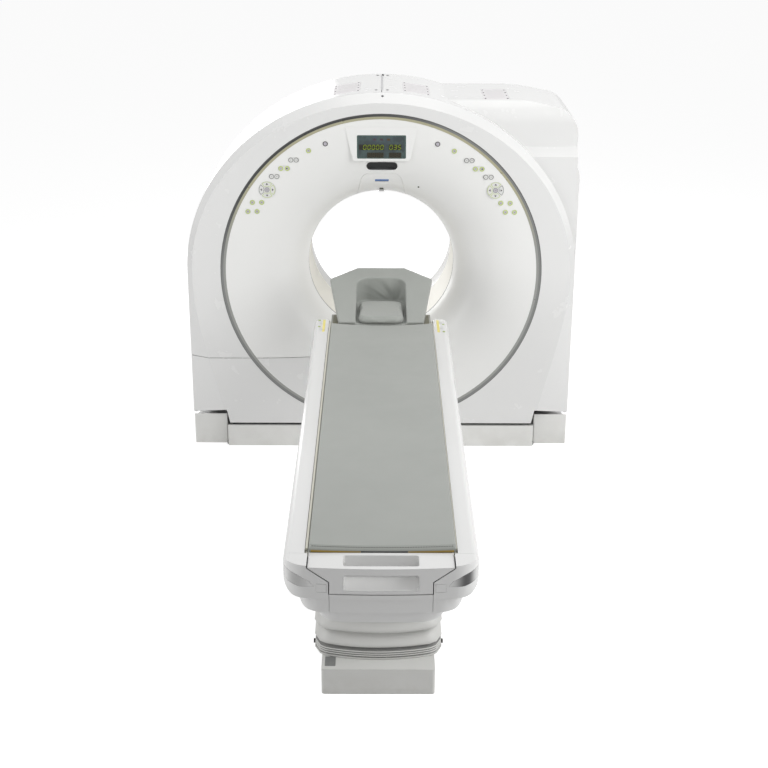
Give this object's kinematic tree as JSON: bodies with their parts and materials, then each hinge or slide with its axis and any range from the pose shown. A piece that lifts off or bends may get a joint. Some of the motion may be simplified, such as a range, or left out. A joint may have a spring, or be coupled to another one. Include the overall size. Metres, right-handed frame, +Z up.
{
  "type": "ct scanner with patient table",
  "caption": "Tilting ring-shaped X-ray scanner with a flared bore, control keys on its face and a patient table on a bellows lift, with a sliding cradle and a head rest.",
  "frame": {"origin": "on the floor under the isocentre, which is the middle of the bore and lies on the tilt axis", "axes": "+X to the right seen from the table's foot end, +Y from the table into the gantry, +Z up"},
  "size_m": [1.96, 3.786, 1.84],
  "materials": {
    "cover_white": "satin",
    "bell_white": "gloss",
    "cover_grey": "satin",
    "frame_steel": "matte",
    "bearing_steel": "brushed",
    "drum_aluminium": "satin",
    "unit_metal": "satin",
    "column_metal": "brushed",
    "trim_grey": "satin",
    "window_film": "satin",
    "screen_black": "gloss",
    "bellows_rubber": "soft",
    "insert_chrome": "gloss",
    "board_laminate": "satin",
    "mat_vinyl": "satin vinyl",
    "key_rubber": "satin"
  },
  "bodies": {
    "base": {"base_frame": "frame_steel", "plinth_covers": "cover_grey", "side_blocks": "cover_grey", "table_base": "cover_grey", "lift_outer_columns": "frame_steel", "bellows": "bellows_rubber"},
    "gantry": {"tilt_frame": "frame_steel", "drum_bearing": "bearing_steel", "housing_left": "cover_white", "housing_right": "cover_white", "front_cover": "cover_white", "service_panel": "cover_white", "bell": "bell_white", "laser_panel": "bell_white", "ring_trim": "trim_grey", "rear_cover": "cover_white", "scan_window": "window_film", "display_bezel": "bell_white", "display_panel": "screen_black", "vent_grilles": "cover_white"},
    "rotor": {"rotor_drum": "drum_aluminium", "xray_tube": "unit_metal", "detector_array": "unit_metal", "hv_generator": "unit_metal"},
    "lift_stage": {"lift_middle_columns": "column_metal"},
    "table": {"lift_inner_columns": "column_metal", "table_frame": "drum_aluminium", "table_pan": "cover_grey", "side_covers": "cover_white", "foot_end_cover": "cover_white", "head_end_cover": "cover_white", "corner_inserts": "insert_chrome"},
    "cradle": {"cradle_board": "board_laminate", "cradle_carriage": "drum_aluminium", "end_cap": "cover_white", "mat": "mat_vinyl", "head_rest": "mat_vinyl", "pillow": "mat_vinyl"},
    "start_key_left": {"start_key_left": "key_rubber"},
    "start_key_right": {"start_key_right": "key_rubber"},
    "hold_key_left": {"hold_key_left": "key_rubber"},
    "hold_key_right": {"hold_key_right": "key_rubber"},
    "rocker_1_left": {"rocker_1_left": "key_rubber"},
    "rocker_1_right": {"rocker_1_right": "key_rubber"},
    "rocker_2_left": {"rocker_2_left": "key_rubber"},
    "rocker_2_right": {"rocker_2_right": "key_rubber"},
    "rocker_3_left": {"rocker_3_left": "key_rubber"},
    "rocker_3_right": {"rocker_3_right": "key_rubber"},
    "pad_key_left": {"pad_key_left": "key_rubber"},
    "pad_key_right": {"pad_key_right": "key_rubber"},
    "pad_centre_key_left": {"pad_centre_key_left": "key_rubber"},
    "pad_centre_key_right": {"pad_centre_key_right": "key_rubber"},
    "quad_key_1_left": {"quad_key_1_left": "key_rubber"},
    "quad_key_1_right": {"quad_key_1_right": "key_rubber"},
    "quad_key_2_left": {"quad_key_2_left": "key_rubber"},
    "quad_key_2_right": {"quad_key_2_right": "key_rubber"},
    "quad_key_3_left": {"quad_key_3_left": "key_rubber"},
    "quad_key_3_right": {"quad_key_3_right": "key_rubber"},
    "quad_key_4_left": {"quad_key_4_left": "key_rubber"},
    "quad_key_4_right": {"quad_key_4_right": "key_rubber"}
  },
  "joints": [
    {"name": "gantry_tilt", "type": "hinge", "parent": "base", "child": "gantry", "pos_m": [0, 0, 0.94], "axis": [-1, 0, 0], "range_deg": [-24, 24]},
    {"name": "rotor_spin", "type": "hinge", "parent": "gantry", "child": "rotor", "pos_m": [0, 0, 0.94], "axis": [0, 1, 0], "continuous": true},
    {"name": "table_lift", "type": "slide", "parent": "base", "child": "table", "axis": [0, 0, 1], "range_m": [-0.4, 0.06], "deforming": ["bellows"]},
    {"name": "lift_mid_stage", "type": "slide", "parent": "base", "child": "lift_stage", "axis": [0, 0, 1], "range_m": [-0.2, 0.03]},
    {"name": "cradle_slide", "type": "slide", "parent": "table", "child": "cradle", "axis": [0, 1, 0], "range_m": [0, 1.75]},
    {"name": "start_key_left_press", "type": "slide", "parent": "gantry", "child": "start_key_left", "axis": [0, 1, 0], "range_m": [0, 0.003], "stiffness_N_per_m": 400},
    {"name": "start_key_right_press", "type": "slide", "parent": "gantry", "child": "start_key_right", "axis": [0, 1, 0], "range_m": [0, 0.003], "stiffness_N_per_m": 400},
    {"name": "hold_key_left_press", "type": "slide", "parent": "gantry", "child": "hold_key_left", "axis": [0, 1, 0], "range_m": [0, 0.003], "stiffness_N_per_m": 400},
    {"name": "hold_key_right_press", "type": "slide", "parent": "gantry", "child": "hold_key_right", "axis": [0, 1, 0], "range_m": [0, 0.003], "stiffness_N_per_m": 400},
    {"name": "rocker_1_left_tip", "type": "hinge", "parent": "gantry", "child": "rocker_1_left", "pos_m": [-0.429, -0.4198, 1.52], "axis": [0, 0, 1], "range_deg": [-3.5, 3.5], "stiffness_Nm_per_rad": 0.5},
    {"name": "rocker_1_right_tip", "type": "hinge", "parent": "gantry", "child": "rocker_1_right", "pos_m": [0.429, -0.4198, 1.52], "axis": [0, 0, 1], "range_deg": [-3.5, 3.5], "stiffness_Nm_per_rad": 0.5},
    {"name": "rocker_2_left_tip", "type": "hinge", "parent": "gantry", "child": "rocker_2_left", "pos_m": [-0.476, -0.41969, 1.478], "axis": [0, 0, 1], "range_deg": [-3.5, 3.5], "stiffness_Nm_per_rad": 0.5},
    {"name": "rocker_2_right_tip", "type": "hinge", "parent": "gantry", "child": "rocker_2_right", "pos_m": [0.476, -0.41969, 1.478], "axis": [0, 0, 1], "range_deg": [-3.5, 3.5], "stiffness_Nm_per_rad": 0.5},
    {"name": "rocker_3_left_tip", "type": "hinge", "parent": "gantry", "child": "rocker_3_left", "pos_m": [-0.525, -0.41989, 1.438], "axis": [0, 0, 1], "range_deg": [-3.5, 3.5], "stiffness_Nm_per_rad": 0.5},
    {"name": "rocker_3_right_tip", "type": "hinge", "parent": "gantry", "child": "rocker_3_right", "pos_m": [0.525, -0.41989, 1.438], "axis": [0, 0, 1], "range_deg": [-3.5, 3.5], "stiffness_Nm_per_rad": 0.5},
    {"name": "pad_key_left_press", "type": "slide", "parent": "gantry", "child": "pad_key_left", "axis": [0, 1, 0], "range_m": [0, 0.002], "stiffness_N_per_m": 400},
    {"name": "pad_key_right_press", "type": "slide", "parent": "gantry", "child": "pad_key_right", "axis": [0, 1, 0], "range_m": [0, 0.002], "stiffness_N_per_m": 400},
    {"name": "pad_centre_key_left_press", "type": "slide", "parent": "gantry", "child": "pad_centre_key_left", "axis": [0, 1, 0], "range_m": [0, 0.002], "stiffness_N_per_m": 400},
    {"name": "pad_centre_key_right_press", "type": "slide", "parent": "gantry", "child": "pad_centre_key_right", "axis": [0, 1, 0], "range_m": [0, 0.002], "stiffness_N_per_m": 400},
    {"name": "quad_key_1_left_press", "type": "slide", "parent": "gantry", "child": "quad_key_1_left", "axis": [0, 1, 0], "range_m": [0, 0.003], "stiffness_N_per_m": 400},
    {"name": "quad_key_1_right_press", "type": "slide", "parent": "gantry", "child": "quad_key_1_right", "axis": [0, 1, 0], "range_m": [0, 0.003], "stiffness_N_per_m": 400},
    {"name": "quad_key_2_left_press", "type": "slide", "parent": "gantry", "child": "quad_key_2_left", "axis": [0, 1, 0], "range_m": [0, 0.003], "stiffness_N_per_m": 400},
    {"name": "quad_key_2_right_press", "type": "slide", "parent": "gantry", "child": "quad_key_2_right", "axis": [0, 1, 0], "range_m": [0, 0.003], "stiffness_N_per_m": 400},
    {"name": "quad_key_3_left_press", "type": "slide", "parent": "gantry", "child": "quad_key_3_left", "axis": [0, 1, 0], "range_m": [0, 0.003], "stiffness_N_per_m": 400},
    {"name": "quad_key_3_right_press", "type": "slide", "parent": "gantry", "child": "quad_key_3_right", "axis": [0, 1, 0], "range_m": [0, 0.003], "stiffness_N_per_m": 400},
    {"name": "quad_key_4_left_press", "type": "slide", "parent": "gantry", "child": "quad_key_4_left", "axis": [0, 1, 0], "range_m": [0, 0.003], "stiffness_N_per_m": 400},
    {"name": "quad_key_4_right_press", "type": "slide", "parent": "gantry", "child": "quad_key_4_right", "axis": [0, 1, 0], "range_m": [0, 0.003], "stiffness_N_per_m": 400}
  ],
  "couplings": [
    {"joint": "lift_mid_stage", "follows": "table_lift", "ratio": 0.5}
  ]
}
